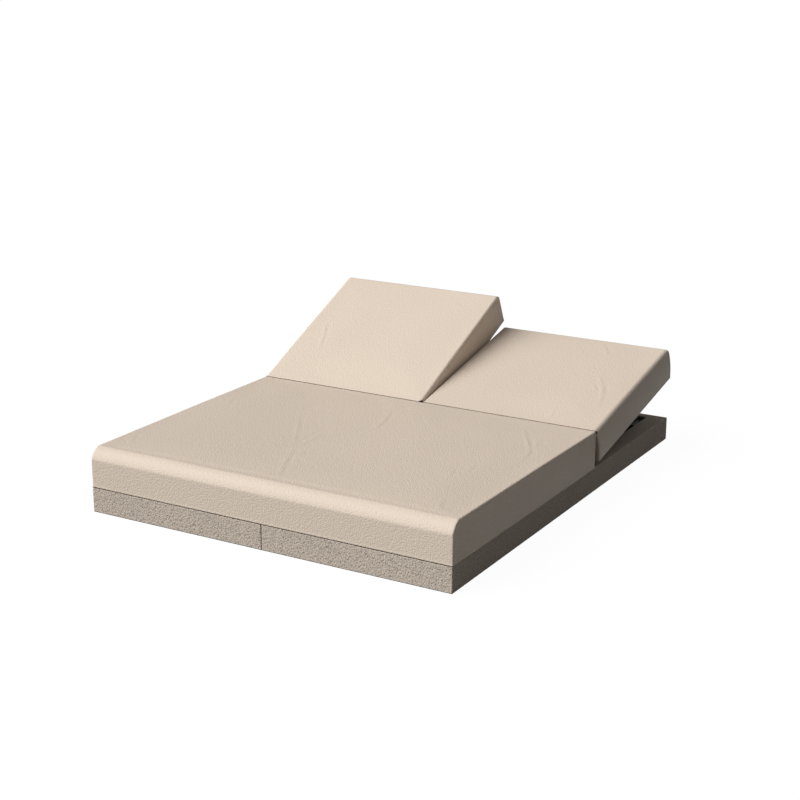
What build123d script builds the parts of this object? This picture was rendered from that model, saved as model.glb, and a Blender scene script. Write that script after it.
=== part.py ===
from build123d import *
import os
from math import asin, cos, degrees, radians, sin, sqrt

os.makedirs("parts", exist_ok=True)

# The lounger stands on the floor at z = 0, with its foot end towards -Y and its
# backs towards +Y. Sizes are in millimetres. Two base modules stand side by side
# under one seat cushion, and each module carries a back that reclines by itself.

# Overall sizes
lounger_width = 1600.0
lounger_length = 2010.0
deck_height = 101.0
cushion_height = 160.0
cut_overrun = 4.0

# Base shells: one moulded cover for each module, open underneath
module_gap = 2.0
floor_gap = 3.0
shell_wall = 6.0
shell_edge_radius = 4.0
recess_side_border = 80.0
recess_rear_border = 42.0
recess_pivot_margin = 35.0
recess_corner_radius = 6.0

# Frame of rectangular tube under each shell
tube_width = 30.0
tube_height = 60.0
tube_wall = 2.5
rail_end_gap = 9.0
middle_rail_count = 2
pan_wall = 2.0
pan_rim = 8.0
pan_drain_radius = 8.0
plug_flange = 2.0
plug_depth = 20.0
plug_clearance = 0.1

# Feet under the side rails
foot_place_shares = (-0.9, 0.9)
foot_radius = 22.0

# Straps that join the two modules under their frames, through slots in the shells
strap_place_shares = (-0.8, -0.05, 0.75)
strap_width = 50.0
strap_thickness = 5.0
strap_clearance = 1.0

# Seat cushion and the strips that it rests on
seat_side_step = 3.0
seat_bullnose = 45.0
grip_height = 4.0
grip_width = 40.0
grip_end_margin = 60.0
grip_place_shares = (-0.85, -0.35, 0.35, 0.85)

# Shapes that the seat and back cushions share
cushion_edge_radius = 7.0
cushion_crown = 3.0
cushion_draw = 2.0
crown_share = 0.3
corner_share = 0.5
end_depth_shares = (0.0, 0.1, 0.3, 0.6, 1.0)
middle_shares = (0.25, 0.5, 0.75)

# Back cushions, their boards and the strips between them
back_length = 788.0
back_rear_step = 22.0
back_side_overhang = 7.0
back_gap = 3.0
back_rear_radius = 16.0
board_thickness = 15.0
board_lift = 1.0
board_margin = 40.0
board_corner_radius = 20.0
vent_count = 3
vent_length = 120.0
vent_width = 24.0
vent_row_share = 0.62
strip_height = 1.5
strip_width = 25.0
strip_end_margin = 70.0
strip_count = 3

# Seam hinge between the seat and each back, along the top edge of the cushions
seam_edge_radius = 6.0
hinge_drop = 9.0
seam_half_gap = 2.2
leaf_offset = 0.4
leaf_thickness = 1.2
leaf_flange = 60.0
leaf_relief = 0.4
leaf_end_margin = 6.5
knuckle_count = 3
knuckle_play = 0.5
knuckle_radius = 2.0
hinge_pin_radius = 1.0
running_clearance = 0.05

# Prop under each back: a bail with two arms whose shoes stand in tracks
left_rest_angle = 24.0
right_rest_angle = 12.0
prop_pivot_share = 0.33
prop_pivot_drop = 14.0
prop_foot_setback = 91.0
prop_arm_spacing = 400.0
prop_arm_radius = 9.0
prop_tie_share = 0.4
prop_tie_radius = 6.0
prop_hub_radius = 10.0
prop_hub_length = 24.0
prop_pin_radius = 5.0
prop_pin_overhang = 2.0
prop_bar_radius = 8.0
shoe_radius = 11.0
shoe_side_clearance = 0.5
bracket_wall = 3.0
bracket_play = 0.3
bracket_length = 50.0
bracket_flange = 22.0
bracket_ear_radius = 10.0

# Tracks for the shoes, bolted to the side rails inside each recess
track_length = 125.0
track_wall = 3.0
track_width = 25.0
track_rise = 14.0
track_seat_clearance = 0.3
track_entry_length = 43.0
track_slot_length = 12.0
track_slot_width = 10.0
track_slot_gap = 8.0

# Places worked out from the sizes above
module_width = (lounger_width - module_gap) / 2
module_centre = (module_gap + module_width) / 2
rear_face = lounger_length / 2
seam_place = rear_face - back_rear_step - back_length
prop_pivot_reach = prop_pivot_share * back_length
recess_half_width = module_width / 2 - recess_side_border
recess_rear = rear_face - recess_rear_border
recess_front = seam_place + prop_pivot_reach - recess_pivot_margin
cushion_top = deck_height + cushion_height
deck_underside = deck_height - shell_wall
rail_end = rear_face - rail_end_gap
rail_bottom = deck_underside - tube_height
rail_offset = recess_half_width + tube_width / 2
track_floor_height = rail_bottom + track_rise
seat_width = lounger_width - 2 * seat_side_step
seat_bottom = deck_height + grip_height
hinge_height = cushion_top - hinge_drop
board_bottom = deck_height + board_lift
board_top = board_bottom + board_thickness
back_bottom = board_top + strip_height
back_width = (lounger_width - back_gap) / 2 + back_side_overhang
pivot_below_hinge = hinge_height - board_bottom + prop_pivot_drop
shoe_height = track_floor_height + shoe_radius + track_seat_clearance
track_inner = recess_half_width - track_width
shoe_end = recess_half_width - track_wall - shoe_side_clearance
foot_run = rear_face - prop_foot_setback - seam_place - prop_pivot_reach
foot_fall = board_bottom - prop_pivot_drop - shoe_height
prop_length = sqrt(foot_run**2 + foot_fall**2)
knuckle_pitch = (module_width - 2 * leaf_end_margin) / knuckle_count
seam_rail_place = seam_place - leaf_offset - leaf_thickness - leaf_flange / 2
strap_low = rail_bottom - strap_thickness
sides = {"left": -1, "right": 1}
rest_angles = {"left": left_rest_angle, "right": right_rest_angle}


def save(part, node):
    """Write one node; several solids stay separate in it."""
    solids = part.solids()
    shape = solids[0] if len(solids) == 1 else Compound(children=list(solids))
    shape.label = node
    export_step(shape, f"parts/{node}.step")
    print(node, len(solids), "solids")


def group(parts):
    """Gather pieces that stay separate solids of one node."""
    return Compound(children=[solid for part in parts for solid in part.solids()])


def block(x0, x1, y0, y1, z0, z1):
    """A box between two corners."""
    centre = Pos((x0 + x1) / 2, (y0 + y1) / 2, (z0 + z1) / 2)
    return centre * Box(x1 - x0, y1 - y0, z1 - z0)


def rod_x(radius, x0, x1, y, z):
    """A round rod along X."""
    return Pos((x0 + x1) / 2, y, z) * Rot(0, 90, 0) * Cylinder(radius, x1 - x0)


def upright(radius, x, y, z0, z1):
    """A round rod along Z."""
    return Pos(x, y, (z0 + z1) / 2) * Cylinder(radius, z1 - z0)


def on_side(part, side):
    """Right-hand pieces as built; left-hand ones mirrored."""
    return part if sides[side] > 0 else mirror(part, about=Plane.YZ)


# Base module


def deck_shell():
    """A moulded cover: deck and four sides, open below, with the recess for the prop."""
    x0 = module_gap / 2
    x1 = x0 + module_width
    shell = block(x0, x1, -rear_face, rear_face, floor_gap, deck_height)
    edges = shell.edges().filter_by(Axis.Z) + shell.faces().sort_by(Axis.Z)[-1].edges()
    shell = fillet(edges, shell_edge_radius)
    inner_end = rear_face - shell_wall
    shell -= block(
        x0 + shell_wall, x1 - shell_wall, -inner_end, inner_end, floor_gap - cut_overrun, deck_underside
    )
    outline = RectangleRounded(2 * recess_half_width, recess_rear - recess_front, recess_corner_radius)
    middle = (recess_front + recess_rear) / 2
    cutter = extrude(outline, shell_wall + cut_overrun, both=True)
    shell -= Pos(module_centre, middle, deck_height) * cutter
    for share in strap_place_shares:
        y = share * rail_end
        reach = strap_width / 2 + strap_clearance
        low = strap_low - strap_clearance
        top = rail_bottom + strap_clearance
        shell -= block(-cut_overrun, x0 + shell_wall + cut_overrun, y - reach, y + reach, low, top)
    return shell


def tube(length):
    """A length of rectangular tube along Y, centred on the origin."""
    outline = Rectangle(tube_width, tube_height)
    outline -= Rectangle(tube_width - 2 * tube_wall, tube_height - 2 * tube_wall)
    return extrude(Plane.XZ * outline, length / 2, both=True)


def side_rails():
    """The two long rails of a module."""
    height = rail_bottom + tube_height / 2
    lines = [module_centre + turn * rail_offset for turn in (-1, 1)]
    return group([Pos(x, 0, height) * tube(2 * rail_end) for x in lines])


def cross_rail_places():
    """The cross rails, from the foot end to the back: evenly spaced ones under the seat first."""
    first = tube_width / 2 - rail_end
    step = (seam_rail_place - first) / (middle_rail_count + 1)
    under_seat = [first + step * index for index in range(middle_rail_count + 2)]
    before_recess = recess_front - tube_width / 2
    return under_seat + [before_recess, rail_end - tube_width / 2]


def cross_rails():
    """Rails across a module, butted between the side rails."""
    height = rail_bottom + tube_height / 2
    rails = []
    for y in cross_rail_places():
        rails.append(Pos(module_centre, y, height) * Rot(0, 0, 90) * tube(2 * recess_half_width))
    return group(rails)


def rail_plugs():
    """Caps in the open ends of the side rails."""
    plugs = []
    height = rail_bottom + tube_height / 2
    shank_width = tube_width - 2 * tube_wall - 2 * plug_clearance
    shank_height = tube_height - 2 * tube_wall - 2 * plug_clearance
    for turn in (-1, 1):
        for end in (-1, 1):
            x = module_centre + turn * rail_offset
            cap = Box(tube_width, plug_flange, tube_height)
            shank = Box(shank_width, plug_depth, shank_height)
            plug = Pos(x, end * (rail_end + plug_flange / 2), height) * cap
            plug += Pos(x, end * (rail_end - plug_depth / 2), height) * shank
            plugs.append(plug)
    return plugs


def recess_pan():
    """The tray that closes the bottom of the recess between the rails, with a drain."""
    rear = rail_end - tube_width
    x0 = module_centre - recess_half_width
    x1 = module_centre + recess_half_width
    pan = block(x0, x1, recess_front, rear, rail_bottom, rail_bottom + pan_rim)
    floor = rail_bottom + pan_wall
    pan -= block(
        x0 + pan_wall, x1 - pan_wall, recess_front + pan_wall, rear - pan_wall, floor, floor + pan_rim
    )
    middle = (recess_front + rear) / 2
    low = rail_bottom - cut_overrun
    return pan - upright(pan_drain_radius, module_centre, middle, low, floor + cut_overrun)


def foot_places():
    """Feet under both side rails of the right-hand module."""
    lines = [module_centre + turn * rail_offset for turn in (-1, 1)]
    return [(x, share * rail_end) for x in lines for share in foot_place_shares]


def foot():
    """A rubber foot under a side rail."""
    return upright(foot_radius, 0, 0, 0, rail_bottom)


def joining_straps():
    """Flat bars under the inner side rails, through slots in both shells."""
    reach = module_centre - recess_half_width
    straps = []
    for share in strap_place_shares:
        y = share * rail_end
        straps.append(block(-reach, reach, y - strap_width / 2, y + strap_width / 2, strap_low, rail_bottom))
    return group(straps)


# Tracks in the recess


def track():
    """The outer track of a module: floor, wall and lip, with the lip cut away for the shoe."""
    wall_face = module_centre + recess_half_width
    lip_edge = wall_face - track_width
    front = recess_rear - track_length
    floor_low = track_floor_height - track_wall
    body = block(lip_edge, wall_face, front, recess_rear, floor_low, deck_underside)
    inner_top = deck_underside - track_wall
    body -= block(
        lip_edge - cut_overrun, wall_face - track_wall, front - cut_overrun, recess_rear + cut_overrun,
        track_floor_height, inner_top,
    )
    entry = recess_rear - track_entry_length
    body -= block(
        lip_edge - cut_overrun, wall_face - track_wall, entry, recess_rear + cut_overrun,
        inner_top - cut_overrun, deck_underside + cut_overrun,
    )
    slot_end = entry - track_slot_gap
    slot_middle = (lip_edge + wall_face - track_wall) / 2
    body -= block(
        slot_middle - track_slot_width / 2, slot_middle + track_slot_width / 2,
        slot_end - track_slot_length, slot_end, inner_top - cut_overrun, deck_underside + cut_overrun,
    )
    return body


def tracks():
    """Both tracks of a module, the inner one mirrored about the module's middle."""
    outer = track()
    return group([outer, mirror(outer, about=Plane.YZ.offset(module_centre))])


# Seam hinge: the plates stand between the cushions, the knuckles lie at their top edge


def knuckle_span(index):
    """The two ends of one knuckle along X."""
    start = module_centre - knuckle_count * knuckle_pitch / 2 + index * knuckle_pitch
    return start + knuckle_play, start + knuckle_pitch - knuckle_play


def seam_leaf(turn, bottom, first):
    """A plate beside the seam with every second knuckle; turn is -1 on the seat's side."""
    reach = knuckle_count * knuckle_pitch / 2
    near = seam_place + turn * leaf_offset
    far = near + turn * leaf_thickness
    y0, y1 = sorted((near, far))
    top = hinge_height - knuckle_radius - leaf_relief
    leaf = block(module_centre - reach, module_centre + reach, y0, y1, bottom, top)
    for index in range(first, knuckle_count, 2):
        x0, x1 = knuckle_span(index)
        leaf += block(x0, x1, y0, y1, bottom, hinge_height)
        leaf += rod_x(knuckle_radius, x0, x1, seam_place, hinge_height)
    bore = hinge_pin_radius + running_clearance
    overrun = reach + cut_overrun
    leaf -= rod_x(bore, module_centre - overrun, module_centre + overrun, seam_place, hinge_height)
    return leaf


def seat_leaf():
    """The plate on the seat's side, with a foot that lies on the deck."""
    reach = knuckle_count * knuckle_pitch / 2
    leaf = seam_leaf(-1, deck_height, 0)
    far = seam_place - leaf_offset
    start = far - leaf_thickness - leaf_flange
    top = deck_height + leaf_thickness
    return leaf + block(module_centre - reach, module_centre + reach, start, far, deck_height, top)


def back_leaf():
    """The plate on the back's side, fixed to the front edge of the board."""
    return seam_leaf(1, board_bottom, 1)


def hinge_pin():
    """The pin through all the knuckles of one back."""
    reach = knuckle_count * knuckle_pitch / 2 - knuckle_play
    return rod_x(hinge_pin_radius, module_centre - reach, module_centre + reach, seam_place, hinge_height)


# Cushions


def cushion_section(half_width, y, low, top, radius, crown):
    """A crowned outline with round corners, standing across the cushion at y."""
    inner = half_width - radius
    lines = [
        Line((-inner, low), (inner, low)),
        CenterArc((inner, low + radius), radius, -90, 90),
        Line((half_width, low + radius), (half_width, top - radius)),
        CenterArc((inner, top - radius), radius, 0, 90),
        ThreePointArc((inner, top), (0, top + crown), (-inner, top)),
        CenterArc((-inner, top - radius), radius, 90, 90),
        Line((-half_width, top - radius), (-half_width, low + radius)),
        CenterArc((-inner, low + radius), radius, 180, 90),
    ]
    return Pos(0, y, 0) * (Plane.XZ * make_face(Curve() + lines))


def round_off(radius, depth):
    """How far a round edge has still to rise, this deep behind the face that it starts on."""
    missing = max(radius - depth, 0)
    return radius - sqrt(radius**2 - missing**2)


def cushion(box, front_radius, rear_radius):
    """A crowned pad with drawn-in sides and round edges, lofted from its front to its rear."""
    (x0, x1), (y0, y1), (z0, z1) = box
    edge = cushion_edge_radius
    length = y1 - y0
    front = [y0 + share * front_radius for share in end_depth_shares]
    rear = [y1 - share * rear_radius for share in reversed(end_depth_shares)]
    middle = [y0 + share * length for share in middle_shares]
    sections = []
    for y in front + middle + rear:
        ends = ((front_radius, y - y0), (rear_radius, y1 - y))
        drop = max(round_off(radius, depth) for radius, depth in ends)
        edge_drop = max(round_off(edge, depth) for radius, depth in ends)
        swell = 4 * (y - y0) * (y1 - y) / length**2
        half_width = (x1 - x0) / 2 - edge_drop - cushion_draw * swell
        radius = edge - (1 - corner_share) * edge_drop
        crown = cushion_crown * (crown_share + (1 - crown_share) * swell)
        top = z1 - cushion_crown - drop
        sections.append(cushion_section(half_width, y, z0 + edge_drop, top, radius, crown))
    return Pos((x0 + x1) / 2, 0, 0) * loft(sections, ruled=True)


def seat_box():
    """The space of the seat cushion."""
    return (
        (-seat_width / 2, seat_width / 2),
        (-rear_face, seam_place - seam_half_gap),
        (seat_bottom, cushion_top),
    )


def back_box():
    """The space of the right-hand back cushion when it lies flat."""
    return (
        (back_gap / 2, back_gap / 2 + back_width),
        (seam_place + seam_half_gap, seam_place + back_length),
        (back_bottom, cushion_top),
    )


def seat_grips():
    """Strips between the deck and the seat cushion."""
    strips = []
    end = seam_rail_place - leaf_flange
    for share in grip_place_shares:
        x = share * seat_width / 2
        start = grip_end_margin - rear_face
        strips.append(block(x - grip_width / 2, x + grip_width / 2, start, end, deck_height, seat_bottom))
    return group(strips)


# Reclining back, built flat


def back_board():
    """The board under a back cushion, with vents."""
    x0 = back_gap / 2 + board_margin
    x1 = back_gap / 2 + back_width - board_margin
    y0 = seam_place + leaf_offset + leaf_thickness
    y1 = seam_place + back_length - board_margin
    board = block(x0, x1, y0, y1, board_bottom, board_top)
    board = fillet(board.edges().filter_by(Axis.Z).group_by(Axis.Y)[-1], board_corner_radius)
    slot = extrude(SlotOverall(vent_length, vent_width), board_thickness, both=True)
    pitch = (x1 - x0) / vent_count
    for index in range(vent_count):
        x = x0 + pitch * (index + 1 / 2)
        board -= Pos(x, y0 + vent_row_share * (y1 - y0), board_bottom) * slot
    return board


def back_strips():
    """Fastening strips between a board and its cushion."""
    pieces = []
    step = (back_width - 2 * strip_end_margin) / (strip_count - 1)
    for index in range(strip_count):
        x = back_gap / 2 + strip_end_margin + step * index
        y0 = seam_place + strip_end_margin
        y1 = seam_place + back_length - strip_end_margin
        pieces.append(block(x - strip_width / 2, x + strip_width / 2, y0, y1, board_top, back_bottom))
    return group(pieces)


def arm_places():
    """The two arms of the prop along X."""
    return [module_centre + turn * prop_arm_spacing / 2 for turn in (-1, 1)]


def pivot_flat():
    """The prop's pivot when the back lies flat."""
    return seam_place + prop_pivot_reach, board_bottom - prop_pivot_drop


def bracket():
    """A bracket with two ears and a flange, about its pivot at the origin."""
    gap = prop_hub_length / 2 + bracket_play
    outer = gap + bracket_wall
    top = prop_pivot_drop
    reach = outer + bracket_flange
    body = block(-reach, reach, -bracket_length / 2, bracket_length / 2, top - bracket_wall, top)
    for turn in (-1, 1):
        x0, x1 = sorted((turn * gap, turn * outer))
        body += block(x0, x1, -bracket_ear_radius, bracket_ear_radius, 0, top)
        body += rod_x(bracket_ear_radius, x0, x1, 0, 0)
    bore = prop_pin_radius + running_clearance
    return body - rod_x(bore, -outer - cut_overrun, outer + cut_overrun, 0, 0)


def brackets():
    """Both brackets of a back."""
    y, z = pivot_flat()
    return group([Pos(x, y, z) * bracket() for x in arm_places()])


def prop_pins():
    """The pins that hang the prop in its brackets."""
    y, z = pivot_flat()
    reach = prop_hub_length / 2 + bracket_play + bracket_wall + prop_pin_overhang
    return group([rod_x(prop_pin_radius, x - reach, x + reach, y, z) for x in arm_places()])


# Prop, built about its pivot and along +Y


def prop_hubs():
    """The ratchet hubs at the top of the arms."""
    hubs = []
    for x in arm_places():
        hub = rod_x(prop_hub_radius, x - prop_hub_length / 2, x + prop_hub_length / 2, 0, 0)
        bore = prop_pin_radius + running_clearance
        hubs.append(hub - rod_x(bore, x - prop_hub_length, x + prop_hub_length, 0, 0))
    return group(hubs)


def rod_y(radius, x):
    """A round rod along the prop, from its pivot to its foot."""
    return Pos(x, prop_length / 2, 0) * Rot(90, 0, 0) * Cylinder(radius, prop_length)


def prop_arms():
    """The two round arms, coped to the hubs and the foot bar."""
    arms = []
    for x in arm_places():
        arm = rod_y(prop_arm_radius, x)
        for radius, y in ((prop_hub_radius, 0), (prop_bar_radius, prop_length)):
            arm -= rod_x(radius, x - prop_hub_length, x + prop_hub_length, y, 0)
        arms.append(arm.solids().sort_by(SortBy.VOLUME)[-1])
    return group(arms)


def prop_tie():
    """The rod between the arms, coped to them."""
    first, last = arm_places()
    tie = rod_x(prop_tie_radius, first, last, prop_tie_share * prop_length, 0)
    for x in (first, last):
        tie -= rod_y(prop_arm_radius, x)
    return tie


def foot_bar():
    """The bar across the foot of the prop, between its shoes."""
    return rod_x(prop_bar_radius, module_centre - track_inner, module_centre + track_inner, prop_length, 0)


def shoes():
    """The sliding shoes on the ends of the foot bar."""
    pieces = []
    for turn in (-1, 1):
        x0, x1 = sorted((module_centre + turn * track_inner, module_centre + turn * shoe_end))
        pieces.append(rod_x(shoe_radius, x0, x1, prop_length, 0))
    return group(pieces)


def prop_lean(angle):
    """How far the prop points below level when the back stands at this angle."""
    turn = radians(angle)
    height = hinge_height + prop_pivot_reach * sin(turn) - pivot_below_hinge * cos(turn)
    return degrees(asin((height - shoe_height) / prop_length))


def recline(part, angle):
    """Turn a back piece, built flat, to its angle about the seam hinge."""
    place = Pos(0, seam_place, hinge_height)
    return place * Rot(angle, 0, 0) * Pos(0, -seam_place, -hinge_height) * part


def stand(part, angle):
    """Put a prop piece in place under a back at this angle."""
    y, z = pivot_flat()
    hang = Pos(0, y, z) * Rot(-prop_lean(angle) - angle, 0, 0) * part
    return recline(hang, angle)


def swing_ratio(angle):
    """How fast the prop turns for each degree of recline, at this angle."""
    turn = radians(angle)
    lever = prop_pivot_reach * cos(turn) + pivot_below_hinge * sin(turn)
    return -1 - lever / (prop_length * cos(radians(prop_lean(angle))))


# Build and write every node

for side in sides:
    angle = rest_angles[side]
    save(on_side(deck_shell(), side), f"deck_shell_{side}")
    save(on_side(side_rails(), side), f"side_rails_{side}")
    save(on_side(cross_rails(), side), f"cross_rails_{side}")
    save(on_side(recess_pan(), side), f"recess_pan_{side}")
    save(on_side(tracks(), side), f"prop_tracks_{side}")
    save(on_side(seat_leaf(), side), f"seat_seam_plate_{side}")
    flat_pieces = {
        "back_cushion": cushion(back_box(), seam_edge_radius, back_rear_radius),
        "back_board": back_board(),
        "back_strips": back_strips(),
        "back_seam_plate": back_leaf(),
        "seam_hinge_pin": hinge_pin(),
        "prop_brackets": brackets(),
        "prop_pins": prop_pins(),
    }
    for name, piece in flat_pieces.items():
        save(recline(on_side(piece, side), angle), f"{name}_{side}")
    prop_pieces = {
        "prop_arms": prop_arms(),
        "prop_tie": prop_tie(),
        "prop_hubs": prop_hubs(),
        "prop_foot_bar": foot_bar(),
        "prop_shoes": shoes(),
    }
    for name, piece in prop_pieces.items():
        save(stand(on_side(piece, side), angle), f"{name}_{side}")
    turn = radians(angle)
    pivot_y = seam_place + prop_pivot_reach * cos(turn) + pivot_below_hinge * sin(turn)
    pivot_z = hinge_height + prop_pivot_reach * sin(turn) - pivot_below_hinge * cos(turn)
    ratio = swing_ratio(angle)
    print(side, "prop pivot", round(pivot_y, 3), round(pivot_z, 3), "swing ratio", round(ratio, 4))

save(cushion(seat_box(), seat_bullnose, seam_edge_radius), "seat_cushion")
save(seat_grips(), "seat_grip_strips")
save(joining_straps(), "joining_straps")

both_sides = {
    "rail_plugs": rail_plugs(),
    "feet": [Pos(x, y, 0) * foot() for x, y in foot_places()],
}
for name, pieces in both_sides.items():
    save(group([on_side(piece, side) for side in sides for piece in pieces]), name)
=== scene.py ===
from math import ceil, cos, pi, radians, sin

import bmesh
import bpy
import numpy as np
from mathutils import Matrix, Vector


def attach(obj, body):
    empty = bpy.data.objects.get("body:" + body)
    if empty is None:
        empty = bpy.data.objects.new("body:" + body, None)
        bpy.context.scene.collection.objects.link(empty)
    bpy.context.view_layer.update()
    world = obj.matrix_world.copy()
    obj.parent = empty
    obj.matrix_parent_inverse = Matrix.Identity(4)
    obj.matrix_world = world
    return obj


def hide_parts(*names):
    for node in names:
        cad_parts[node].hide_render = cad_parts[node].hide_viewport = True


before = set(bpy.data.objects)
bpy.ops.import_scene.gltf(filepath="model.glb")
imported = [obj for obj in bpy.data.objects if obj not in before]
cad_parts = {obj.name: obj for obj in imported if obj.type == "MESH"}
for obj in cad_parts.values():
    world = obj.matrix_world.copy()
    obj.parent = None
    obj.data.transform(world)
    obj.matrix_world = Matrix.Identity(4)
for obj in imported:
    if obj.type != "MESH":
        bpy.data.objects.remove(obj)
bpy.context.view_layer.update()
print("frame loaded:", len(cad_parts), "nodes")

# The foot end is towards -Y, the backs towards +Y, and the floor is z = 0. All in metres.


class Wire:  # one output of a shader node, so that shader sums read as sums
    def __init__(self, tree, socket):
        self.tree = tree
        self.socket = socket

    def maths(self, operation, *values):
        node = self.tree.nodes.new("ShaderNodeMath")
        node.operation = operation
        for place, value in zip(node.inputs, values):
            if isinstance(value, Wire):
                self.tree.links.new(value.socket, place)
            else:
                place.default_value = value
        return Wire(self.tree, node.outputs[0])

    def __add__(self, other):
        return self.maths("ADD", self, other)

    def __radd__(self, other):
        return self.maths("ADD", other, self)

    def __sub__(self, other):
        return self.maths("SUBTRACT", self, other)

    def __rsub__(self, other):
        return self.maths("SUBTRACT", other, self)

    def __mul__(self, other):
        return self.maths("MULTIPLY", self, other)

    def __rmul__(self, other):
        return self.maths("MULTIPLY", other, self)

    def __truediv__(self, other):
        return self.maths("DIVIDE", self, other)

    def __pow__(self, other):
        return self.maths("POWER", self, other)

    def atMost(self, other):
        return self.maths("MINIMUM", self, other)

    def atLeast(self, other):
        return self.maths("MAXIMUM", self, other)

    def clamped(self):
        return self.atLeast(0.0).atMost(1.0)


class Shading:  # the node tree of a material or the world
    def __init__(self, owner):
        owner.use_nodes = True
        self.owner = owner
        self.tree = owner.node_tree

    def node(self, kind, settings, sockets, output=0):
        node = self.tree.nodes.new(kind)
        for name, value in settings.items():
            if name == "stops":
                ramp = node.color_ramp
                while len(ramp.elements) < len(value):
                    ramp.elements.new(0.5)
                for element, (place, colour) in zip(ramp.elements, value):
                    element.position = place
                    element.color = opaque(colour)
            else:
                setattr(node, name, value)
        for name, value in sockets.items():
            if isinstance(value, Wire):
                self.tree.links.new(value.socket, node.inputs[name])
            else:
                node.inputs[name].default_value = value
        return Wire(self.tree, node.outputs[output])

    def place(self):  # where a point is, in metres
        return self.node("ShaderNodeTexCoord", {}, {}, "Object")

    def scaled(self, where, scale, turn=0.0):
        return self.node("ShaderNodeMapping", {}, {"Vector": where, "Scale": scale, "Rotation": (turn, 0, 0)})

    def noise(self, where, perMetre, detail=2.0, roughness=0.5):
        sockets = {"Vector": where, "Scale": perMetre, "Detail": detail, "Roughness": roughness}
        return self.node("ShaderNodeTexNoise", {}, sockets, "Fac")

    def cells(self, where, perMetre, feature="F1"):
        sockets = {"Vector": where, "Scale": perMetre}
        return self.node("ShaderNodeTexVoronoi", {"feature": feature}, sockets, "Distance")

    def ramp(self, value, *stops):
        return self.node("ShaderNodeValToRGB", {"stops": stops}, {"Fac": value})

    def blend(self, share, first, second):
        colours = [value if isinstance(value, Wire) else opaque(value) for value in (first, second)]
        return self.node("ShaderNodeMix", {"data_type": "RGBA"}, {0: share, 6: colours[0], 7: colours[1]}, 2)

    def bump(self, height, strength, depth):
        return self.node("ShaderNodeBump", {}, {"Height": height, "Strength": strength, "Distance": depth})

    def wear(self, target, **values):  # sets or links sockets of a node that is there already
        for name, value in values.items():
            socket = self.tree.nodes[target].inputs[name.replace("_", " ")]
            if isinstance(value, Wire):
                self.tree.links.new(value.socket, socket)
            else:
                socket.default_value = value


def opaque(colour):
    return (*colour, 1.0)


def darker(colour, share):
    return tuple(share * part for part in colour)


def finish(name, **values):
    shading = Shading(bpy.data.materials.new(name))
    shading.wear("Principled BSDF", **values)
    return shading


leatherLook = {
    "colour": (0.735, 0.622, 0.512),
    "shade": 0.97,
    "pebblesPerMetre": 190.0,
    "poresPerMetre": 620.0,
    "poreShare": 0.12,
    "driftPerMetre": 2.5,
    "roughness": 0.5,
    "roughnessDrift": 0.16,
    "specular": 0.22,
    "grainDepth": 0.0018,
    "grainStrength": 0.75,
}


def leather(name, look):
    skin = finish(name, Specular_IOR_Level=look["specular"])
    where = skin.place()
    pebbles = skin.cells(where, look["pebblesPerMetre"], "SMOOTH_F1")
    pores = skin.noise(where, look["poresPerMetre"], 1.0)
    drift = skin.noise(where, look["driftPerMetre"], 3.0)
    height = pores * look["poreShare"] - pebbles
    tone = (pebbles * 0.6 + drift * 0.8 - 0.35).clamped()
    colour = skin.blend(tone, look["colour"], darker(look["colour"], look["shade"]))
    rough = drift * look["roughnessDrift"] + (look["roughness"] - look["roughnessDrift"] / 2)
    grain = skin.bump(height, look["grainStrength"], look["grainDepth"])
    skin.wear("Principled BSDF", Base_Color=colour, Roughness=rough, Normal=grain)
    return skin.owner


stoneLook = {
    "pale": (0.720, 0.620, 0.525),
    "middle": (0.610, 0.522, 0.440),
    "pit": (0.130, 0.105, 0.086),
    "grainsPerMetre": 150.0,
    "fineShare": 0.38,
    "contrast": 4.0,
    "level": 0.60,
    "roughness": 0.88,
    "specular": 0.2,
    "depth": 0.0052,
    "strength": 1.0,
}


def granularStone(name, look):
    skin = finish(name, Roughness=look["roughness"], Specular_IOR_Level=look["specular"])
    where = skin.place()
    grains = skin.noise(where, look["grainsPerMetre"], 3.0, 0.62)
    fine = skin.noise(where, look["grainsPerMetre"] * 3.3, 2.0, 0.6)
    pits = skin.cells(where, look["grainsPerMetre"] * 0.9)
    mixed = grains * (1 - look["fineShare"]) + fine * look["fineShare"]
    tone = (mixed - 0.5) * look["contrast"] + look["level"]
    colour = skin.ramp(tone, (0.0, look["pit"]), (0.40, look["middle"]), (0.7, look["middle"]), (1.0, look["pale"]))
    height = grains * 0.8 + fine * 0.2 - pits * 0.25
    rough = skin.bump(height, look["strength"], look["depth"])
    skin.wear("Principled BSDF", Base_Color=colour, Normal=rough)
    return skin.owner


metalLooks = {
    "millAluminium": {"colour": (0.60, 0.61, 0.62), "metallic": 1.0, "roughness": 0.38, "streaks": 0.08},
    # the tracks' aluminium is darkened: painted shade for the recess under the backs
    "shadedTrackAluminium": {"colour": (0.11, 0.115, 0.125), "metallic": 1.0, "roughness": 0.5, "streaks": 0.06},
    "panCoat": {"colour": (0.030, 0.030, 0.032), "metallic": 0.0, "roughness": 0.55, "streaks": 0.02},
    "propCoat": {"colour": (0.050, 0.052, 0.056), "metallic": 0.0, "roughness": 0.42, "streaks": 0.02},
    "satinSteel": {"colour": (0.42, 0.42, 0.42), "metallic": 1.0, "roughness": 0.34, "streaks": 0.08},
    "darkSteel": {"colour": (0.10, 0.095, 0.09), "metallic": 1.0, "roughness": 0.40, "streaks": 0.05},
    "darkTaupeCoat": {"colour": (0.13, 0.105, 0.083), "metallic": 0.0, "roughness": 0.6, "streaks": 0.02},
}


metalWear = {"smudge": 0.14, "dulled": 0.72, "lineStrength": 0.12, "lineDepth": 0.0002}


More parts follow.
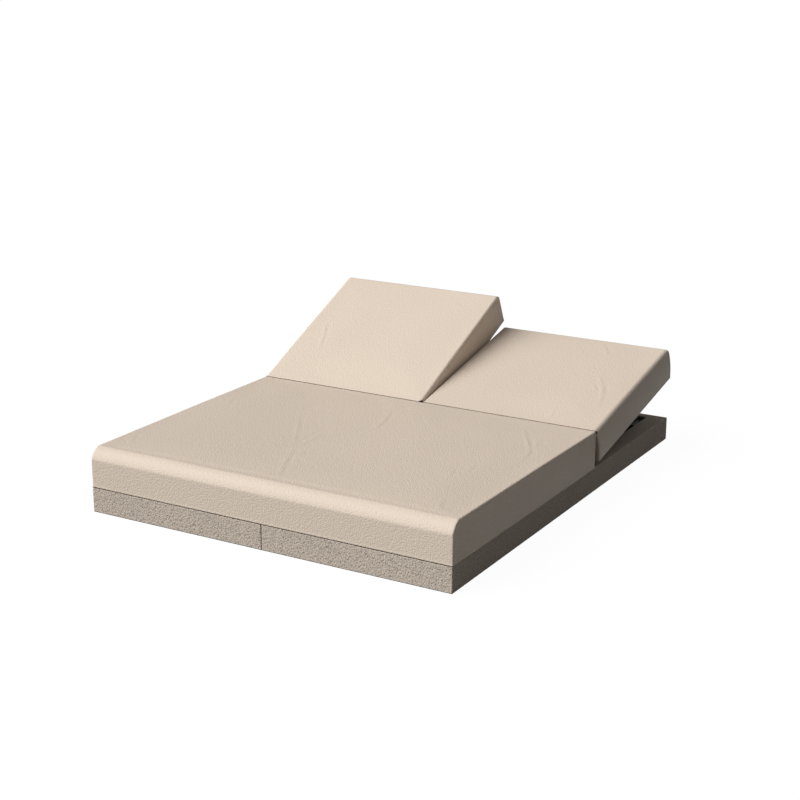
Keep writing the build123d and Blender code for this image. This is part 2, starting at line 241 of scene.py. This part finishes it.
def metal(name, look):
    skin = finish(name, Metallic=look["metallic"])
    where = skin.place()
    streaks = skin.noise(skin.scaled(where, (4.0, 90.0, 90.0)), 12.0, 3.0)
    smudge = skin.noise(where, 9.0, 3.0)
    rough = streaks * look["streaks"] + smudge * metalWear["smudge"]
    rough = rough + (look["roughness"] - metalWear["smudge"] / 2 - look["streaks"] / 2)
    dulled = darker(look["colour"], metalWear["dulled"])
    colour = skin.blend((smudge * 1.3 - 0.2).clamped(), look["colour"], dulled)
    lines = skin.bump(streaks, metalWear["lineStrength"], metalWear["lineDepth"])
    skin.wear("Principled BSDF", Base_Color=colour, Roughness=rough, Normal=lines)
    return skin.owner


mouldedLooks = {
    "blackNylon": {"colour": (0.028, 0.028, 0.030), "roughness": 0.45, "dimplesPerMetre": 700.0},
    "blackRubber": {"colour": (0.022, 0.022, 0.022), "roughness": 0.78, "dimplesPerMetre": 400.0},
}


def moulded(name, look):
    skin = finish(name, Roughness=look["roughness"])
    where = skin.place()
    dimples = skin.noise(where, look["dimplesPerMetre"], 2.0)
    drift = skin.noise(where, 14.0, 2.0)
    colour = skin.blend(drift, look["colour"], darker(look["colour"], 0.7))
    skin.wear("Principled BSDF", Base_Color=colour, Normal=skin.bump(dimples, 0.25, 0.0003))
    return skin.owner


plyLook = {
    "face": (0.090, 0.066, 0.046),
    "faceDark": (0.045, 0.032, 0.023),
    "layersPerMetre": 210.0,
    "roughness": 0.58,
}


def plywood(name, look, tilt):
    # long grain on the faces, and thin layers where the edge shows them
    skin = finish(name, Roughness=look["roughness"])
    level = skin.scaled(skin.place(), (1.0, 1.0, 1.0), tilt)
    grain = skin.noise(skin.scaled(level, (26.0, 1.6, 26.0)), 3.0, 5.0)
    sockets = {"Vector": level, "Scale": look["layersPerMetre"] / 20}
    layers = skin.node("ShaderNodeTexWave", {"bands_direction": "Z"}, sockets, "Fac")
    tone = (grain * 1.3 + layers * 0.35 - 0.35).clamped()
    colour = skin.blend(tone, look["face"], look["faceDark"])
    skin.wear("Principled BSDF", Base_Color=colour, Normal=skin.bump(grain, 0.25, 0.0004))
    return skin.owner


webbingLook = {
    "loop": (0.035, 0.035, 0.035),
    "gap": (0.012, 0.012, 0.012),
    "loopsPerMetre": 900.0,
    "roughness": 0.9,
    "strength": 0.6,
    "depth": 0.0006,
}


def webbing(name, look):
    skin = finish(name, Roughness=look["roughness"])
    loops = skin.cells(skin.place(), look["loopsPerMetre"])
    colour = skin.blend(loops, look["loop"], look["gap"])
    rough = skin.bump(1.0 - loops, look["strength"], look["depth"])
    skin.wear("Principled BSDF", Base_Color=colour, Normal=rough)
    return skin.owner


restAngles = {"left": 24.0, "right": 12.0}

finishes = {
    "leather": leather("cushion_leather", leatherLook),
    "stone": granularStone("shell_stone", stoneLook),
    "webbing": webbing("strip_webbing", webbingLook),
}
for finishName, look in metalLooks.items():
    finishes[finishName] = metal(finishName, look)
for finishName, look in mouldedLooks.items():
    finishes[finishName] = moulded(finishName, look)
for side, angle in restAngles.items():
    finishes[f"plywood_{side}"] = plywood(f"board_plywood_{side}", plyLook, -radians(angle))

nodeFinishes = {
    "deck_shell": "stone",
    "side_rails": "millAluminium",
    "cross_rails": "millAluminium",
    "recess_pan": "panCoat",
    "prop_tracks": "shadedTrackAluminium",
    "seat_seam_plate": "darkTaupeCoat",
    "back_seam_plate": "darkTaupeCoat",
    "seam_hinge_pin": "darkSteel",
    "joining_straps": "satinSteel",
    "prop_pins": "satinSteel",
    "prop_brackets": "propCoat",
    "prop_arms": "propCoat",
    "prop_tie": "propCoat",
    "prop_hubs": "satinSteel",
    "prop_foot_bar": "propCoat",
    "prop_shoes": "blackNylon",
    "rail_plugs": "blackNylon",
    "feet": "blackRubber",
    "seat_grip_strips": "blackRubber",
    "back_board": "plywood",
    "back_strips": "webbing",
}
for nodeName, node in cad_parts.items():
    side = "left" if nodeName.endswith("_left") else "right"
    wanted = nodeFinishes.get(nodeName.removesuffix("_left").removesuffix("_right"))
    if wanted:
        node.data.materials.clear()
        node.data.materials.append(finishes.get(wanted) or finishes[f"{wanted}_{side}"])
print("finishes ready:", len(finishes))


def newPiece(name, mesh, material, body):
    piece = bpy.data.objects.new(name, mesh)
    bpy.context.scene.collection.objects.link(piece)
    piece.data.materials.clear()
    piece.data.materials.append(finishes[material])
    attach(piece, body)
    return piece


# Backs and what they carry are made lying flat, then raised to the photograph's angle
seamHinge = {"y": 0.195, "z": 0.252}


def raised(angle):
    hinge = Vector((0, seamHinge["y"], seamHinge["z"]))
    return Matrix.Translation(hinge) @ Matrix.Rotation(radians(angle), 4, "X") @ Matrix.Translation(-hinge)


cushionShape = {
    "insets": (0.0, 0.0012, 0.003, 0.0055, 0.0085, 0.012, 0.0165, 0.022),
    "frontInsets": (0.0, 0.0012, 0.003, 0.0055, 0.0085, 0.012, 0.018, 0.025, 0.032, 0.039, 0.044, 0.048, 0.052),
    "spacing": 0.013,
    "heldBelow": 0.006,
    "pressure": 4.0,
    "frames": 20,
    "cap": (0.0008, 0.0008, 0.0034),
    "crownReach": 0.22,
}
coverCloth = {
    "quality": 4,
    "mass": 0.3,
    "tension_stiffness": 30,
    "compression_stiffness": 30,
    "shear_stiffness": 12,
    "bending_stiffness": 2.0,
    "use_pressure": True,
    "uniform_pressure_force": cushionShape["pressure"],
}
seatSize = {
    "low": (-0.7990, -1.0065, 0.105),
    "high": (0.8020, 0.1928, 0.261),
    "front": 0.0455,
    "rear": 0.0065,
    "under": 0.004,
    "outerRounds": {"top": 0.0075, "bottom": 0.004, "front": 0.006, "rear": 0.007},
    "rimDrop": 0.0023,
    "lift": 0.002,
    "liftFrom": (0.1928, -0.35),
    "widen": 0.0045,
    "bulge": 0.0015,
}
backSize = {
    "low": (0.0012, 0.1972, 0.1185),
    "high": (0.8070, 0.9865, 0.261),
    "front": 0.0,
    "nose": 0.0028,
    "rear": 0.018,
    "under": 0.006,
    "outerRounds": {"top": 0.016, "bottom": 0.006, "front": 0.005, "rear": 0.006},
    "innerRounds": {"top": 0.012, "bottom": 0.003, "front": 0.011, "rear": 0.005},
    "rimDrop": 0.0,
    "lift": 0.003,
    "liftFrom": (0.1972, 0.50),
    "widen": 0.0,
    "bulge": 0.0072,
}

# Puckers in the covers: height and half width in metres, then the points that each runs through
seatCreases = [
    (0.0009, 0.0075, [(-0.15, -0.589), (-0.12, -0.542), (-0.117, -0.482), (-0.118, -0.423)]),
    (0.0006, 0.008, [(-0.336, -0.239), (-0.237, -0.402), (-0.133, -0.593)]),
    (0.0008, 0.008, [(-0.115, -0.611), (-0.055, -0.756), (0.025, -0.93)]),
    (0.0009, 0.0075, [(-0.039, -0.001), (0.0, -0.108), (0.021, -0.206), (0.024, -0.281)]),
    (0.0008, 0.007, [(-0.712, -0.191), (-0.681, -0.276)]),
    (0.0009, 0.0075, [(0.548, 0.056), (0.63, -0.076), (0.691, -0.184), (0.713, -0.309)]),
    (0.0007, 0.007, [(0.663, -0.027), (0.683, -0.132)]),
    (0.0008, 0.007, [(0.584, -0.437), (0.595, -0.536)]),
    (0.0007, 0.007, [(0.538, -0.517), (0.565, -0.605)]),
    (0.0007, 0.0075, [(-0.771, -0.759), (-0.705, -0.883)]),
    (0.0007, 0.0075, [(0.661, -0.819), (0.691, -0.917)]),
]
backCreases = {
    "left": [
        (0.0009, 0.0075, [(-0.714, 0.664), (-0.72, 0.607), (-0.681, 0.513), (-0.649, 0.412)]),
        (0.0006, 0.007, [(-0.773, 0.652), (-0.713, 0.672)]),
        (0.0006, 0.007, [(-0.174, 0.877), (-0.131, 0.854)]),
    ],
    "right": [
        (0.0009, 0.0075, [(0.631, 0.632), (0.681, 0.55), (0.713, 0.465), (0.728, 0.376)]),
        (0.0007, 0.0075, [(0.567, 0.304), (0.58, 0.217)]),
        (0.0007, 0.0075, [(0.515, 0.937), (0.584, 0.831)]),
        (0.0007, 0.007, [(0.629, 0.553), (0.671, 0.508)]),
    ],
}


def gridLine(low, high, first, last, spacing):
    # places along one side, close together at both ends
    start, end = low + first[-1], high - last[-1]
    count = max(2, ceil((end - start) / spacing))
    middle = np.linspace(start, end, count + 1)
    return np.concatenate([low + np.array(first[:-1]), middle, high - np.array(last[:-1])[::-1]])


def gridBlock(low, high, size, shape):
    # a closed block of four-sided faces
    small, large = shape["insets"], shape["frontInsets"]
    bullnosed = size["front"] > 0
    spacing = shape["spacing"]
    lines = [
        gridLine(low[0], high[0], small, small, spacing),
        gridLine(low[1], high[1], large if bullnosed else small, small, spacing),
        gridLine(low[2], high[2], small[:6], large if bullnosed else small, spacing),
    ]
    known, points, faces = {}, [], []

    def corner(point):
        key = tuple(round(float(part), 6) for part in point)
        if key not in known:
            known[key] = len(points)
            points.append(key)
        return known[key]

    for axis in range(3):
        across, along = (axis + 1) % 3, (axis + 2) % 3
        for end in (0, -1):
            for u0, u1 in zip(lines[across], lines[across][1:]):
                for v0, v1 in zip(lines[along], lines[along][1:]):
                    face = []
                    for u, v in ((u0, v0), (u1, v0), (u1, v1), (u0, v1)):
                        point = [0.0, 0.0, 0.0]
                        point[axis], point[across], point[along] = lines[axis][end], u, v
                        face.append(corner(point))
                    faces.append(face if end == -1 else face[::-1])
    return np.array(points), faces


def smooth(value):
    # 0 to 1 with a level start and end
    value = np.clip(value, 0, 1)
    return value * value * (3 - 2 * value)


noseArc = {"share": 0.44, "radius": 1.506}


def roundSection(places, low, high, size):
    # rounds the four long edges; gives each point its depth below the surface and the way out
    y, z = places[:, 1].copy(), places[:, 2].copy()
    sides = np.stack([y - low[1], high[1] - y, z - low[2], high[2] - z])
    depth, nearest = sides.min(axis=0), sides.argmin(axis=0)
    outward = np.array([(-1.0, 0.0), (1.0, 0.0), (0.0, -1.0), (0.0, 1.0)])[nearest]
    top = size["front"] or size["nose"]
    corners = [(-1, 1, top), (1, 1, size["rear"]), (-1, -1, size["under"]), (1, -1, size["under"])]
    for signY, signZ, radius in corners:
        centreY = (high[1] if signY > 0 else low[1]) - signY * radius
        centreZ = (high[2] if signZ > 0 else low[2]) - signZ * radius
        u, v = (y - centreY) * signY, (z - centreZ) * signZ
        inside = (u >= 0) & (v >= 0) & (u + v > 0)
        u, v = u[inside], v[inside]
        far = np.hypot(u, v)
        square = radius * far / np.maximum(u, v)
        if size["front"] and (signY, signZ) == (-1, 1):
            # the nose is flatter than a quarter circle and meets the panels at an angle
            shift, arc = noseArc["share"] * radius, noseArc["radius"] * radius
            lean = -shift * (u + v) / far
            edge = lean + np.sqrt(lean * lean - 2 * shift * shift + arc * arc)
        else:
            shift, arc = 0.0, radius
            edge = np.full(len(u), radius)
        u, v = u * edge / square, v * edge / square
        fromArc = np.hypot(u + shift, v + shift)
        depth[inside] = arc - fromArc
        outward[inside] = np.stack([signY * (u + shift) / fromArc, signZ * (v + shift) / fromArc], axis=1)
        places[inside, 1], places[inside, 2] = centreY + signY * u, centreZ + signZ * v
    return depth, outward


def roundSides(places, low, high, size, outer, depth, outward):
    # rounds the edges about both side panels
    for sign, side in ((-1, low[0]), (1, high[0])):
        rounds = size["outerRounds" if sign in outer else "innerRounds"]
        upDown = np.where(outward[:, 1] > 0, rounds["top"], rounds["bottom"])
        frontRear = np.where(outward[:, 0] < 0, rounds["front"], rounds["rear"])
        radius = upDown * outward[:, 1] ** 2 + frontRear * outward[:, 0] ** 2
        u, v = radius - depth, radius - (side - places[:, 0]) * sign
        inside = (u > 0) & (v > 0)
        scale = np.maximum(u, v) / np.hypot(u, v)
        moveU, moveV = np.where(inside, u * (scale - 1), 0), np.where(inside, v * (scale - 1), 0)
        places[:, 1:] += outward * moveU[:, None]
        places[:, 0] += sign * moveV


# How the filling stands: the rim that sags, the height where the sides are fullest, how far in they swell
standing = {
    "rim": 0.024,
    "rimFade": 0.008,
    "rimShare": 0.16,
    "seamClear": 0.07,
    "seamFade": 0.01,
    "fullest": 0.45,
    "lowerFall": 0.6,
    "swellReach": 0.16,
}


def filledOut(places, low, high, size, outer):
    # the top rises a little away from the seam, the rim sags onto the black shadow band, and the outer sides stand
    # proud
    start, end = size["liftFrom"]
    share = (places[:, 2] - low[2]) / (high[2] - low[2])
    inset = np.min([places[:, 0] - low[0], high[0] - places[:, 0], places[:, 1] - low[1]], axis=0)
    sag = smooth((standing["rim"] - inset) / standing["rimFade"])
    sag *= smooth((high[1] - standing["seamClear"] - places[:, 1]) / standing["seamFade"])
    places[:, 2] -= size["rimDrop"] * sag * smooth(1 - share / standing["rimShare"])
    places[:, 2] += size["lift"] * smooth((places[:, 1] - start) / (end - start)) * np.clip(share, 0, 1)
    full = standing["fullest"]
    above = 1 - np.clip((share - full) / (1 - full), 0, 1) ** 2
    below = 1 - standing["lowerFall"] * np.clip((full - share) / full, 0, 1) ** 2
    swell = np.where(share > full, above, below)
    rearward = (places[:, 1] - low[1]) / (high[1] - low[1])
    reach = size["bulge"] * swell + size["widen"] * rearward
    for sign, side in ((-1, low[0]), (1, high[0])):
        if sign in outer:
            places[:, 0] += sign * reach * smooth(1 - abs(places[:, 0] - side) / standing["swellReach"])


def filled(piece, shape, low, high):
    # air pressure fills the cover for a few frames, and no point moves further than the cap
    count = len(piece.data.vertices)
    start = np.empty(count * 3)
    piece.data.vertices.foreach_get("co", start)
    start = start.reshape(-1, 3)
    held = piece.vertex_groups.new(name="held")
    held.add(np.flatnonzero(start[:, 2] < low[2] + shape["heldBelow"]).tolist(), 1.0, "REPLACE")
    cloth = piece.modifiers.new("filling", "CLOTH")
    for setting, value in coverCloth.items():
        setattr(cloth.settings, setting, value)
    cloth.settings.vertex_group_mass = "held"
    cloth.settings.effector_weights.gravity = 0
    cloth.collision_settings.use_collision = False
    cloth.point_cache.frame_start = 1
    cloth.point_cache.frame_end = shape["frames"]
    for step in range(1, shape["frames"] + 1):
        bpy.context.scene.frame_set(step)
    swollen = piece.evaluated_get(bpy.context.evaluated_depsgraph_get())
    ended = np.empty(count * 3)
    swollen.data.vertices.foreach_get("co", ended)
    moved = ended.reshape(-1, 3) - start
    piece.modifiers.remove(cloth)
    piece.vertex_groups.remove(held)
    bpy.context.scene.frame_set(1)
    cap = np.array(shape["cap"])
    inset = np.minimum(start[:, :2] - low[:2], high[:2] - start[:, :2]).min(axis=1)
    settled = cap * np.tanh(moved / cap)
    settled[:, 2] *= smooth(inset / shape["crownReach"])
    piece.data.vertices.foreach_set("co", (start + settled).ravel())
    furthest = round(float(abs(moved).max()) * 1000, 1)
    print("  filled", piece.name, "and moved it by up to", furthest, "mm before the cap")


def finer(piece):
    piece.modifiers.new("finer", "SUBSURF").levels = 1
    smoothed = piece.evaluated_get(bpy.context.evaluated_depsgraph_get())
    mesh = bpy.data.meshes.new_from_object(smoothed)
    piece.modifiers.clear()
    old = piece.data
    piece.data = mesh
    bpy.data.meshes.remove(old)


pucker = {
    "gain": 1.5,
    "rim": 0.07,
    "topDepth": 0.010,
    "topFade": 0.006,
    "valley": 0.6,
    "valleyPlace": 1.8,
    "valleyWidth": 1.1,
    "ripple": 0.0005,
    "rippleWaves": [(7.3, 4.1, 1.0), (-5.2, 9.7, 0.0), (13.1, -6.4, 2.0)],
}


def puckered(piece, creases, low, high):
    # creases and faint ripples in the top of the cover
    count = len(piece.data.vertices)
    places = np.empty(count * 3)
    piece.data.vertices.foreach_get("co", places)
    places = places.reshape(-1, 3)
    x, y = places[:, 0], places[:, 1]
    top = smooth((places[:, 2] - (high[2] - pucker["topDepth"])) / pucker["topFade"])
    calm = smooth(np.min([x - low[0], high[0] - x, y - low[1], high[1] - y], axis=0) / pucker["rim"]) * top
    lift = np.zeros(count)
    for height, halfWidth, points in creases:
        best, along, signed = np.full(count, np.inf), np.zeros(count), np.zeros(count)
        points = np.array(points)
        steps = np.linalg.norm(points[1:] - points[:-1], axis=1)
        total, done = steps.sum(), 0.0
        for a, b, length in zip(points, points[1:], steps):
            run = (b - a) / length
            off = places[:, :2] - a
            share = np.clip(off @ run, 0, length)
            off = off - np.outer(share, run)
            away = np.linalg.norm(off, axis=1)
            nearer = away < best
            best[nearer] = away[nearer]
            along[nearer] = (done + share[nearer]) / total
            signed[nearer] = (off @ np.array([-run[1], run[0]]))[nearer]
            done += length
        taper = np.sin(pi * np.clip(along * 0.92 + 0.04, 0, 1)) ** 0.7
        taper *= 0.75 + 0.25 * np.sin(along * 19.0)
        ridge = np.exp(-((best / halfWidth) ** 2))
        fromValley = (signed - pucker["valleyPlace"] * halfWidth) / (pucker["valleyWidth"] * halfWidth)
        valley = np.exp(-(fromValley**2)) * (best < 4 * halfWidth)
        lift += pucker["gain"] * height * taper * (ridge - pucker["valley"] * valley)
    ripple = sum(np.sin(alongX * x + alongY * y + phase) for alongX, alongY, phase in pucker["rippleWaves"])
    ripple += np.sin(19.0 * x + 3.0 * np.sin(5.0 * y)) * 0.5
    places[:, 2] += lift * calm + ripple * pucker["ripple"] * calm
    piece.data.vertices.foreach_set("co", places.ravel())
    piece.data.update()


def cushion(name, size, outer, creases, body, node, angle=0.0):
    shape = cushionShape
    low, high = size["low"], size["high"]
    places, faces = gridBlock(low, high, size, shape)
    depth, outward = roundSection(places, low, high, size)
    roundSides(places, low, high, size, outer, depth, outward)
    filledOut(places, low, high, size, outer)
    data = bpy.data.meshes.new(name)
    data.from_pydata(places.tolist(), [], faces)
    piece = newPiece(name, data, "leather", body)
    filled(piece, shape, low, high)
    finer(piece)
    puckered(piece, creases, low, high)
    piece.data.transform(raised(angle))
    piece.data.materials.clear()
    piece.data.materials.append(finishes["leather"])
    for polygon in piece.data.polygons:
        polygon.use_smooth = True
    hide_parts(node)
    print("cushion made:", name, len(piece.data.vertices), "points")


def onSide(size, side):
    # the same size for the left-hand back, mirrored about x = 0
    if side == "right":
        return size
    low, high = size["low"], size["high"]
    return {**size, "low": (-high[0], low[1], low[2]), "high": (-low[0], high[1], high[2])}


cushion("seat_leather", seatSize, (-1, 1), seatCreases, "base", "seat_cushion")
for side, angle in restAngles.items():
    size = onSide(backSize, side)
    outer = (1,) if side == "right" else (-1,)
    cushion(f"back_leather_{side}", size, outer, backCreases[side], f"back_{side}", f"back_cushion_{side}", angle)


# Small trim: screws, and dark pieces that paint shade: black bands for the shadow lines under the seat and at the
# floor, black hinge-pin end caps and corner patches for the shade at the seam's ends, and dark lines for the shade in
# the seam groove


def band(outline, inward, low, high):
    # a flat band of rectangular section that follows an open or closed outline
    closed = outline[0] == outline[-1]
    points = [Vector(point) for point in outline[: -1 if closed else None]]
    count = len(points)
    inner = []
    for index, point in enumerate(points):
        before = points[index - 1] if closed or index else point - (points[1] - point)
        after = points[(index + 1) % count] if closed or index < count - 1 else point + (point - points[index - 1])
        first, second = (point - before).normalized(), (after - point).normalized()
        normals = [Vector((-way.y, way.x)) for way in (first, second)]
        mitre = (normals[0] + normals[1]) / (1 + normals[0].dot(normals[1]))
        inner.append(point + mitre * inward)
    places, faces = [], []
    for outside, inside in zip(points, inner):
        places += [(*outside, low), (*outside, high), (*inside, high), (*inside, low)]
    for index in range(count if closed else count - 1):
        a, b = index * 4, (index + 1) % count * 4
        for part in range(4):
            other = (part + 1) % 4
            faces.append([a + part, b + part, b + other, a + other])
    if not closed:
        end = (count - 1) * 4
        faces += [[0, 1, 2, 3], [end + 3, end + 2, end + 1, end]]
    return places, faces


def turned(profile, sides, axis, centre):
    # a round piece: the profile gives radius and height along the axis, closed at both ends
    axis, centre = Vector(axis).normalized(), Vector(centre)
    across = axis.orthogonal().normalized()
    other = axis.cross(across)
    places, faces = [], []
    for radius, height in profile:
        for step in range(sides):
            angle = 2 * pi * step / sides
            places.append(tuple(centre + axis * height + (across * cos(angle) + other * sin(angle)) * radius))
    for ring in range(len(profile) - 1):
        for step in range(sides):
            after = (step + 1) % sides
            a, b = ring * sides, (ring + 1) * sides
            faces.append([a + step, a + after, b + after, b + step])
    last = (len(profile) - 1) * sides
    faces.append(list(range(sides))[::-1])
    faces.append([last + step for step in range(sides)])
    return places, faces


def prism(outline, low, high):
    # an upright block on a flat outline
    count = len(outline)
    places = [(x, y, z) for z in (low, high) for x, y in outline]
    faces = [list(range(count))[::-1], list(range(count, 2 * count))]
    faces += [[a, (a + 1) % count, count + (a + 1) % count, count + a] for a in range(count)]
    return places, faces


def joined(name, parts, material, body, matrix=None):
    # one object from several closed parts
    places, faces = [], []
    for somePlaces, someFaces in parts:
        start = len(places)
        places += somePlaces
        faces += [[start + index for index in face] for face in someFaces]
    data = bpy.data.meshes.new(name)
    data.from_pydata(places, [], faces)
    whole = bmesh.new()
    whole.from_mesh(data)
    bmesh.ops.recalc_face_normals(whole, faces=whole.faces)
    whole.to_mesh(data)
    whole.free()
    if matrix:
        data.transform(matrix)
    for polygon in data.polygons:
        polygon.use_smooth = False
    return newPiece(name, data, material, body)


# a black band between seat and deck, open at the rear: painted shadow that gives the dark line under the seat's lower
# edge
shadowBand = {"side": 0.7996, "front": -1.0046, "rear": 0.126, "width": 0.022, "low": 0.1011, "high": 0.1026}
side, front, rear = shadowBand["side"], shadowBand["front"], shadowBand["rear"]
outline = [(side, rear), (side, front), (-side, front), (-side, rear)]
run = band(outline, -shadowBand["width"], shadowBand["low"], shadowBand["high"])
joined("seat_base_shadow_band", [run], "blackRubber", "base")

# a black strip under the base's rim: painted shadow for the dark line at the floor
floorShadowStrip = {"side": 0.7985, "end": 1.0035, "width": 0.006, "low": 0.0003, "high": 0.0029}
side, end = floorShadowStrip["side"], floorShadowStrip["end"]
outline = [(side, end), (side, -end), (-side, -end), (-side, end), (side, end)]
run = band(outline, -floorShadowStrip["width"], floorShadowStrip["low"], floorShadowStrip["high"])
joined("base_floor_shadow_strip", [run], "blackRubber", "base")

# black caps on both ends of both hinge pins, also painted shade for the dark notch at each end of the seam
capProfile = [(0.0012, 0.0), (0.0019, 0.0005), (0.0021, 0.0012), (0.0021, 0.0030), (0.0017, 0.0037), (0.0009, 0.0040)]
hingeCapShades = {"profile": capProfile, "places": (0.0022, 0.7942), "sides": 14}
caps = []
for sign in (-1, 1):
    for place in hingeCapShades["places"]:
        centre = (sign * place, seamHinge["y"], seamHinge["z"])
        caps.append(turned(hingeCapShades["profile"], hingeCapShades["sides"], (sign, 0, 0), centre))
joined("hinge_cap_shades", caps, "blackNylon", "base")

# a dark line along the lower front edge of each back: painted shade for the seam groove
seamShadeLine = {"inner": 0.009, "outer": 0.803, "y": 0.1979, "z": 0.2602, "radius": 0.0008, "sides": 10}
seamShadeLineShape = [(seamShadeLine["radius"], 0.0), (seamShadeLine["radius"], seamShadeLine["outer"] - seamShadeLine["inner"])]
for side, sign in (("left", -1), ("right", 1)):
    first = min(sign * seamShadeLine["inner"], sign * seamShadeLine["outer"])
    run = turned(seamShadeLineShape, seamShadeLine["sides"], (1, 0, 0), (first, seamShadeLine["y"], seamShadeLine["z"]))
    joined(f"seam_shade_line_{side}", [run], "darkTaupeCoat", f"back_{side}", raised(restAngles[side]))

# a black patch over the left cover's inner corner and the right cover's outer one: painted shade for the gap behind
# those corners
innerCorner = [(-0.0012, 0.1970), (-0.0012, 0.2090), (-0.0040, 0.2075)]
innerCorner += [(-0.0090, 0.2020), (-0.0140, 0.1990), (-0.0140, 0.1970)]
outerCorner = [(0.8010, 0.1970), (0.8069, 0.1970), (0.8069, 0.2012), (0.8050, 0.2002)]
cornerShadePatches = {
    "left": {"outline": innerCorner, "low": 0.2520, "high": 0.2624},
    "right": {"outline": outerCorner, "low": 0.2490, "high": 0.2600},
}
for side, patch in cornerShadePatches.items():
    block = prism(patch["outline"], patch["low"], patch["high"])
    joined(f"corner_shade_patch_{side}", [block], "blackRubber", f"back_{side}", raised(restAngles[side]))

# pan-head screws through the flanges of the prop brackets
panHead = [(0.0043, 0.0), (0.0043, 0.0010), (0.0036, 0.0020), (0.0020, 0.0025), (0.0017, 0.0014), (0.0005, 0.0013)]
screws = {"sides": 18, "centre": 0.4005, "arm": 0.2, "across": 0.0263, "y": 0.45504, "along": 0.016, "z": 0.0990}
for side, sign in (("left", -1), ("right", 1)):
    heads = []
    for arm in (-screws["arm"], screws["arm"]):
        for across in (-screws["across"], screws["across"]):
            for along in (-screws["along"], screws["along"]):
                centre = (sign * (screws["centre"] + arm + across), screws["y"] + along, screws["z"])
                heads.append(turned(panHead, screws["sides"], (0, 0, -1), centre))
    joined(f"bracket_screws_{side}", heads, "satinSteel", f"back_{side}", raised(restAngles[side]))
print("trim made")

# The studio: a broad key light from the front left, a dim even sky, a pale floor
studio = {
    "keyStrength": 3.70,
    "keyFrom": (-0.60, -0.53, 0.60),
    "keyAngle": 60.0,
    "sky": 0.175,
    "floorReach": 60.0,
    "floorGlow": 0.965,
    "floorShare": 0.05,
    "floorBounce": 0.10,
}
world = bpy.data.worlds.new("studio")
bpy.context.scene.world = world
sky = Shading(world)
seen = sky.node("ShaderNodeLightPath", {}, {}, "Is Camera Ray")
seen = seen.atLeast(sky.node("ShaderNodeLightPath", {}, {}, "Is Transmission Ray"))
sky.wear("Background", Color=opaque((1.0, 1.0, 1.0)), Strength=seen * (1.0 - studio["sky"]) + studio["sky"])

keyData = bpy.data.lights.new("key", "SUN")
keyData.energy = studio["keyStrength"]
keyData.angle = radians(studio["keyAngle"])
key = bpy.data.objects.new("key", keyData)
key.rotation_euler = Vector(studio["keyFrom"]).to_track_quat("Z", "Y").to_euler()
bpy.context.scene.collection.objects.link(key)


def floorFinish():
    skin = Shading(bpy.data.materials.new("studio_floor"))
    shown = skin.node("ShaderNodeLightPath", {}, {}, "Is Camera Ray")
    shown = shown.atLeast(skin.node("ShaderNodeLightPath", {}, {}, "Is Glossy Ray"))
    pale = skin.node("ShaderNodeBsdfDiffuse", {}, {"Color": opaque([studio["floorShare"]] * 3)})
    glow = skin.node("ShaderNodeEmission", {}, {"Strength": studio["floorGlow"]})
    dim = skin.node("ShaderNodeBsdfDiffuse", {}, {"Color": opaque([studio["floorBounce"]] * 3)})
    lit = skin.node("ShaderNodeAddShader", {}, {0: pale, 1: glow})
    skin.wear("Material Output", Surface=skin.node("ShaderNodeMixShader", {}, {0: shown, 1: dim, 2: lit}))
    return skin.owner


reach = studio["floorReach"]
floorMesh = bpy.data.meshes.new("floor")
floorCorners = [(-reach, -reach, 0), (reach, -reach, 0), (reach, reach, 0), (-reach, reach, 0)]
floorMesh.from_pydata(floorCorners, [], [(0, 1, 2, 3)])
floor = bpy.data.objects.new("floor", floorMesh)
floor.data.materials.append(floorFinish())
bpy.context.scene.collection.objects.link(floor)

view = {
    "place": (3.2360, -5.5528, 2.2467),
    "azimuth": 30.1879,
    "elevation": 16.6919,
    "roll": 0.0932,
    "lens": 72.8171,
    "sensor": 36.0,
    "clipEnd": 300.0,
}
cameraData = bpy.data.cameras.new("camera")
cameraData.sensor_width = view["sensor"]
cameraData.lens = view["lens"]
cameraData.clip_end = view["clipEnd"]
camera = bpy.data.objects.new("camera", cameraData)
turn, rise = radians(view["azimuth"]), radians(view["elevation"])
backward = Vector((sin(turn) * cos(rise), -cos(turn) * cos(rise), sin(rise)))
rightward = Vector((cos(turn), sin(turn), 0.0))
axes = Matrix((rightward, backward.cross(rightward), backward)).transposed()
rolled = Matrix.Rotation(radians(view["roll"]), 4, "Z")
camera.matrix_world = Matrix.Translation(view["place"]) @ axes.to_4x4() @ rolled
bpy.context.scene.collection.objects.link(camera)
bpy.context.scene.camera = camera
bpy.context.scene.view_settings.view_transform = "Standard"
print("studio ready")
